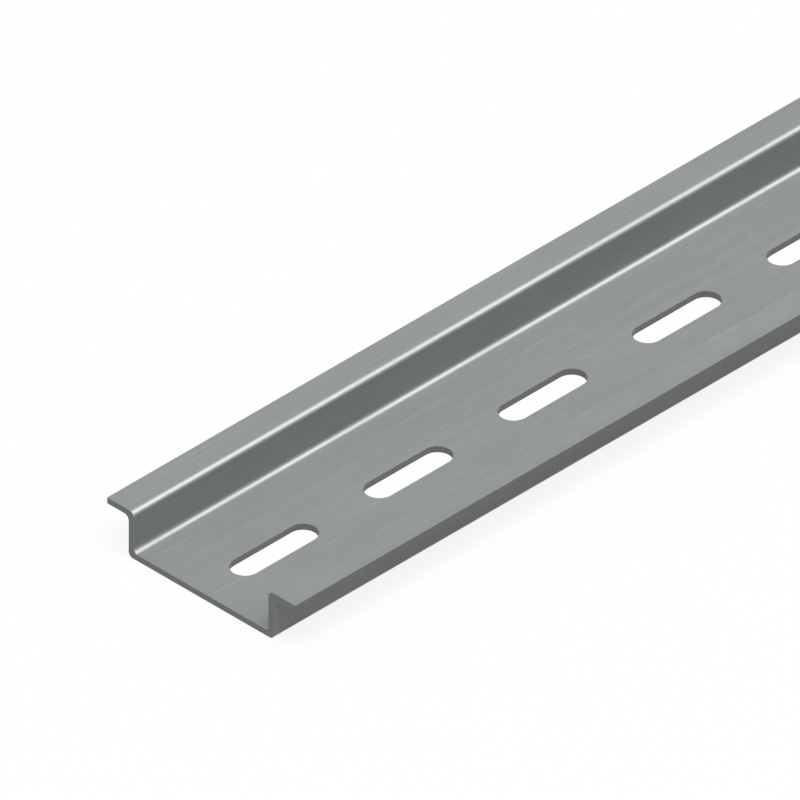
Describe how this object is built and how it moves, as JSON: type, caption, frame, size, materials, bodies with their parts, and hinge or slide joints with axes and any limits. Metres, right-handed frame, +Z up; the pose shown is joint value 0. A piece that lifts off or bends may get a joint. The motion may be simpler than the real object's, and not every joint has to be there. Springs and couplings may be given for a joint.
{
  "type": "din rail",
  "caption": "Slotted top-hat section mounting rail, rolled from zinc-plated steel strip, that carries clip-on modules in an electrical cabinet.",
  "frame": {"origin": "under the middle of the rail, on the face that lies against the mounting plate", "axes": "+X along the rail, +Y across it, +Z up from the mounting face to the flanges"},
  "size_m": [1, 0.035, 0.0075],
  "materials": {
    "zinc_plated_steel": "bright zinc plating, satin, with fine rolling lines along the length"
  },
  "bodies": {
    "root": {"rail": "zinc_plated_steel"}
  },
  "joints": []
}
